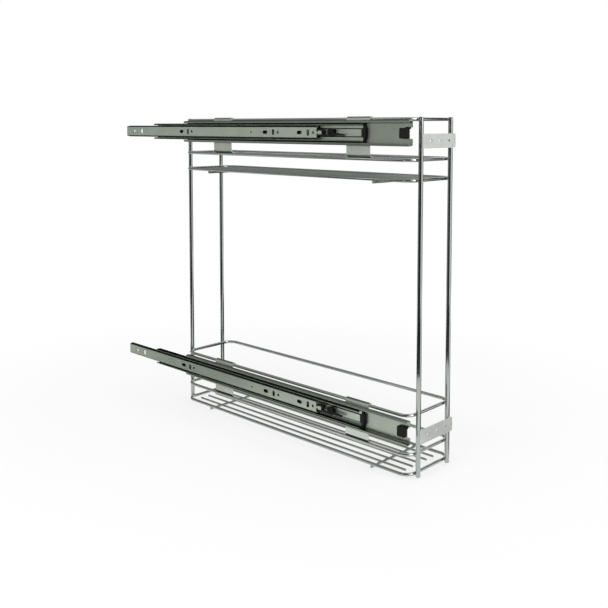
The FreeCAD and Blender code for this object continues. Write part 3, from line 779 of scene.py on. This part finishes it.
class RACK_OT_studio(bpy.types.Operator):
    """Makes the floor, the studio's walls, the lights, the world and the camera"""

    bl_idname = "rack.studio"
    bl_label = "Studio and camera"

    floor_gap = 1.0 * MM
    floor_size = 14.0
    clear_near = 0.30              # distances from the rack between which the floor turns plain white
    clear_far = 0.85
    floor_lift = 0.70              # share of plain white in the floor next to the rack
    wall_radius = 1.0
    wall_high = 1.9
    wall_segments = 72
    ceiling_segments = 48
    left_wall = (-150.0, -30.0)    # from and to in degrees, 0 on the slides' side
    front_wall = (-30.0, 72.0)
    front_foot = -0.07             # height of the wall's lower edge
    back_wall = (126.0, 166.0)
    back_foot = 0.03
    fan = (-60.0, 90.0)            # flat card round the door's end
    fan_middle = Vector((0.356, 0.032, 0.0))
    fan_radius = 0.49
    fan_spread = 2.2
    front_card = (-1.0, 1.0, -1.0, -0.60)  # low and high X, low and high Y
    back_card = (-0.9, 0.60, 0.14, 1.0)
    side_card = (-0.44, -0.06, -0.28, -0.08)
    left_levels = (0.28, 0.42)     # level of a screen at its bottom and at its top
    front_levels = (0.03, 0.42)
    back_levels = (0.03, 0.12)
    screen_turn_low = 0.45         # heights between which the screen pales
    screen_turn_high = 1.30
    key_place = Vector((0.2, -1.92, 0.48))     # lights' places from the rack's middle
    key_size = (0.8, 0.2)                      # lights' widths and heights
    side_place = Vector((-1.75, -0.6, 0.1))
    side_size = (0.5, 0.5)
    fill_place = Vector((2.0, 0.4, 1.0))
    fill_size = (1.2, 1.6)
    camera_place = Vector((1.0349, -0.9109, 0.4286))
    camera_turn = 43.734           # degrees to the left of +Y
    camera_tilt = 3.919            # degrees down
    camera_shift = -0.20
    sensor_width = 36.0            # mm
    clip_near = 0.01
    clip_far = 50.0

    def background_ray(self, tree):
        """1 for rays that show the background: camera, glossy and transmission rays."""
        path = add(tree, "ShaderNodeLightPath")
        seen = math_node(tree, "MAXIMUM", path.outputs["Is Camera Ray"], path.outputs["Is Glossy Ray"])
        return math_node(tree, "MAXIMUM", seen, path.outputs["Is Transmission Ray"])

    def floor(self, settings, middle):
        """A pale floor that turns plain white away from the rack."""
        height = cad_box[0].z - self.floor_gap
        deselect()
        bpy.ops.mesh.primitive_plane_add(size=self.floor_size, location=(middle.x, middle.y, height))
        plane = take_active("studio_floor")
        material, tree, shader = new_material("Pale floor", Roughness=0.9, Specular_IOR_Level=0.1)
        shader.inputs["Base Color"].default_value = (*settings.floor_colour, 1.0)
        coordinates = add(tree, "ShaderNodeTexCoord")
        distance = add(tree, "ShaderNodeVectorMath", operation="LENGTH")
        tree.links.new(coordinates.outputs["Object"], distance.inputs[0])
        fade = add(tree, "ShaderNodeMapRange", interpolation_type="SMOOTHSTEP")
        fade.inputs["From Min"].default_value = self.clear_near
        fade.inputs["From Max"].default_value = self.clear_far
        fade.inputs["To Min"].default_value = self.floor_lift
        tree.links.new(distance.outputs["Value"], fade.inputs["Value"])
        white = add(tree, "ShaderNodeEmission")
        blend = add(tree, "ShaderNodeMixShader")
        factor = math_node(tree, "MULTIPLY", fade.outputs["Result"], self.background_ray(tree))
        tree.links.new(factor, blend.inputs["Fac"])
        tree.links.new(shader.outputs["BSDF"], blend.inputs[1])
        tree.links.new(white.outputs["Emission"], blend.inputs[2])
        tree.links.new(blend.outputs["Shader"], tree.nodes["Material Output"].inputs["Surface"])
        plane.data.materials.append(material)

    def screen_material(self, name, levels):
        """A glow that is dark below and paler above: painted light, as a screen looks that is lit from its
        top.
        """
        material, tree, shader = new_material(name)
        tree.nodes.remove(shader)
        coordinates = add(tree, "ShaderNodeTexCoord")
        parts = add(tree, "ShaderNodeSeparateXYZ")
        tree.links.new(coordinates.outputs["Object"], parts.inputs[0])
        level = add(tree, "ShaderNodeMapRange", interpolation_type="SMOOTHSTEP")
        level.inputs["From Min"].default_value = self.screen_turn_low
        level.inputs["From Max"].default_value = self.screen_turn_high
        level.inputs["To Min"].default_value, level.inputs["To Max"].default_value = levels
        tree.links.new(parts.outputs["Z"], level.inputs["Value"])
        glow = add(tree, "ShaderNodeEmission")
        tree.links.new(level.outputs["Result"], glow.inputs["Strength"])
        tree.links.new(glow.outputs["Emission"], tree.nodes["Material Output"].inputs["Surface"])
        return material

    def curved_screen(self, name, middle, radius, arc, material, rise=0.0, spread=1.0):
        """A screen that only reflections see: a round wall if it rises, a flat fan if it spreads."""
        start, end = arc
        deselect()
        bpy.ops.mesh.primitive_circle_add(vertices=self.wall_segments, radius=radius, fill_type="NOTHING",
                                          location=middle)
        screen = take_active(name)
        apply_place(screen)
        bpy.ops.object.mode_set(mode="EDIT")
        bpy.ops.mesh.select_mode(type="VERT")
        bpy.ops.mesh.select_all(action="DESELECT")
        shell = bmesh.from_edit_mesh(screen.data)
        for vertex in shell.verts:
            around = vertex.co - middle
            angle = math.degrees(math.atan2(around.x, -around.y))
            vertex.select_set((angle - start) % 360.0 > end - start)
        bmesh.update_edit_mesh(screen.data)
        bpy.ops.mesh.delete(type="VERT")
        bpy.ops.mesh.select_all(action="SELECT")
        bpy.ops.mesh.extrude_edges_move(TRANSFORM_OT_translate={"value": (0, 0, rise)})
        bpy.ops.transform.resize(value=(spread, spread, 1.0), center_override=middle)
        leave_edit()
        screen.data.materials.append(material)
        self.hide_from_view(screen)

    def hide_from_view(self, obj):
        """Leaves a screen to reflections alone."""
        obj.visible_camera = False
        obj.visible_diffuse = False
        obj.visible_transmission = False
        obj.visible_shadow = False

    def flat_card(self, name, sides, height, material):
        """A dark card on the floor that only reflections see."""
        x_low, x_high, y_low, y_high = sides
        deselect()
        bpy.ops.mesh.primitive_plane_add(
            size=1.0, location=((x_low + x_high) / 2, (y_low + y_high) / 2, height))
        card = take_active(name)
        card.scale = (x_high - x_low, y_high - y_low, 1.0)
        apply_place(card)
        card.data.materials.append(material)
        self.hide_from_view(card)

    def ceiling(self, middle, material):
        """A dark ceiling that only reflections see."""
        deselect()
        bpy.ops.mesh.primitive_circle_add(vertices=self.ceiling_segments, radius=self.wall_radius,
                                          fill_type="NGON", location=(middle.x, middle.y, self.wall_high))
        roof = take_active("studio_ceiling")
        apply_place(roof)
        roof.data.materials.append(material)
        self.hide_from_view(roof)

    def soft_light(self, name, aim, offset, size, power):
        """A rectangular light that stands at an offset from its aim and faces it."""
        lamp = bpy.data.lights.new(name, "AREA")
        lamp.shape = "RECTANGLE"
        lamp.size, lamp.size_y = size
        lamp.energy = power
        place = aim + offset
        holder = bpy.data.objects.new(name, lamp)
        holder.location = place
        holder.rotation_euler = (aim - place).to_track_quat("-Z", "Y").to_euler()
        bpy.context.collection.objects.link(holder)

    def world(self, settings):
        """Even light for the pieces, and plain white for the rays that show the background."""
        world = bpy.data.worlds.new("Studio")
        bpy.context.scene.world = world
        world.use_nodes = True
        tree = world.node_tree
        ambient = tree.nodes["Background"]
        ambient.inputs["Color"].default_value = WHITE
        ambient.inputs["Strength"].default_value = settings.ambient
        white = add(tree, "ShaderNodeBackground")
        white.inputs["Color"].default_value = WHITE
        blend = add(tree, "ShaderNodeMixShader")
        tree.links.new(self.background_ray(tree), blend.inputs["Fac"])
        tree.links.new(ambient.outputs["Background"], blend.inputs[1])
        tree.links.new(white.outputs["Background"], blend.inputs[2])
        tree.links.new(blend.outputs["Shader"], tree.nodes["World Output"].inputs["Surface"])

    def camera(self, settings):
        data = bpy.data.cameras.new("Camera")
        data.lens = settings.lens
        data.sensor_width = self.sensor_width
        data.shift_y = self.camera_shift
        data.clip_start = self.clip_near
        data.clip_end = self.clip_far
        holder = bpy.data.objects.new("Camera", data)
        holder.location = self.camera_place
        holder.rotation_euler = (math.radians(90.0 - self.camera_tilt), 0.0, math.radians(self.camera_turn))
        bpy.context.collection.objects.link(holder)
        bpy.context.scene.camera = holder

    def execute(self, context):
        settings = context.scene.rack_studio
        low, high = cad_box
        middle = Vector(((low.x + high.x) / 2, (low.y + high.y) / 2, 0.0))
        aim = (low + high) / 2
        self.floor(settings, middle)
        grey = self.screen_material("Grey screen", self.left_levels)
        dark = self.screen_material("Dark screen", self.front_levels)
        black = self.screen_material("Darker screen", self.back_levels)
        for name, arc, foot, material in (("left", self.left_wall, self.front_foot, grey),
                                          ("front", self.front_wall, self.front_foot, dark),
                                          ("back", self.back_wall, self.back_foot, black)):
            self.curved_screen(f"studio_{name}_screen", Vector((middle.x, middle.y, foot)), self.wall_radius,
                               arc, material, rise=self.wall_high - foot)
        self.ceiling(middle, dark)
        self.curved_screen("studio_fan_card", self.fan_middle + Vector((0, 0, low.z)), self.fan_radius,
                           self.fan, dark, spread=self.fan_spread)
        self.flat_card("studio_front_card", self.front_card, low.z + self.floor_gap, dark)
        self.flat_card("studio_back_card", self.back_card, low.z, dark)
        self.flat_card("studio_side_card", self.side_card, low.z + self.floor_gap, dark)
        self.soft_light("key", aim, self.key_place, self.key_size, settings.key_power)
        self.soft_light("side", aim, self.side_place, self.side_size, settings.side_power)
        self.soft_light("fill", aim, self.fill_place, self.fill_size, settings.fill_power)
        self.world(settings)
        self.camera(settings)
        context.scene.view_settings.view_transform = "Standard"
        return {"FINISHED"}


class RACK_PT_panel(bpy.types.Panel):
    """Lists the rack's finishes and the operators that make its pieces"""

    bl_idname = "RACK_PT_panel"
    bl_label = "Pull-out wire rack"
    bl_space_type = "VIEW_3D"
    bl_region_type = "UI"
    bl_category = "Wire rack"

    def draw(self, context):
        layout = self.layout
        for title, name in (("Wires", "rack_wire"), ("Slides", "rack_slide"),
                            ("Plastic", "rack_plastic"), ("Studio", "rack_studio")):
            column = layout.box().column(align=True)
            column.label(text=title)
            settings = getattr(context.scene, name)
            for key in settings.bl_rna.properties.keys():
                if key not in ("rna_type", "name"):
                    column.prop(settings, key)
        buttons = layout.column(align=True)
        for operator in OPERATORS:
            buttons.operator(operator.bl_idname)


OPERATORS = (RACK_OT_wires, RACK_OT_welds, RACK_OT_slides, RACK_OT_plates, RACK_OT_plastics,
             RACK_OT_grips, RACK_OT_studio)
SETTINGS = {"rack_wire": WireFinish, "rack_slide": SlideFinish, "rack_plastic": PlasticFinish,
            "rack_studio": StudioSettings}


def register():
    for kind in (*SETTINGS.values(), *OPERATORS, RACK_PT_panel):
        bpy.utils.register_class(kind)
    for name, kind in SETTINGS.items():
        setattr(bpy.types.Scene, name, bpy.props.PointerProperty(type=kind))


def unregister():
    for name in SETTINGS:
        delattr(bpy.types.Scene, name)
    for kind in reversed((*SETTINGS.values(), *OPERATORS, RACK_PT_panel)):
        bpy.utils.unregister_class(kind)


def main():
    register()
    deselect()
    bpy.ops.rack.wires()
    bpy.ops.rack.welds()
    bpy.ops.rack.slides()
    bpy.ops.rack.plates()
    bpy.ops.rack.plastics()
    bpy.ops.rack.grips()
    bpy.ops.rack.studio()


if __name__ == "__main__":
    main()
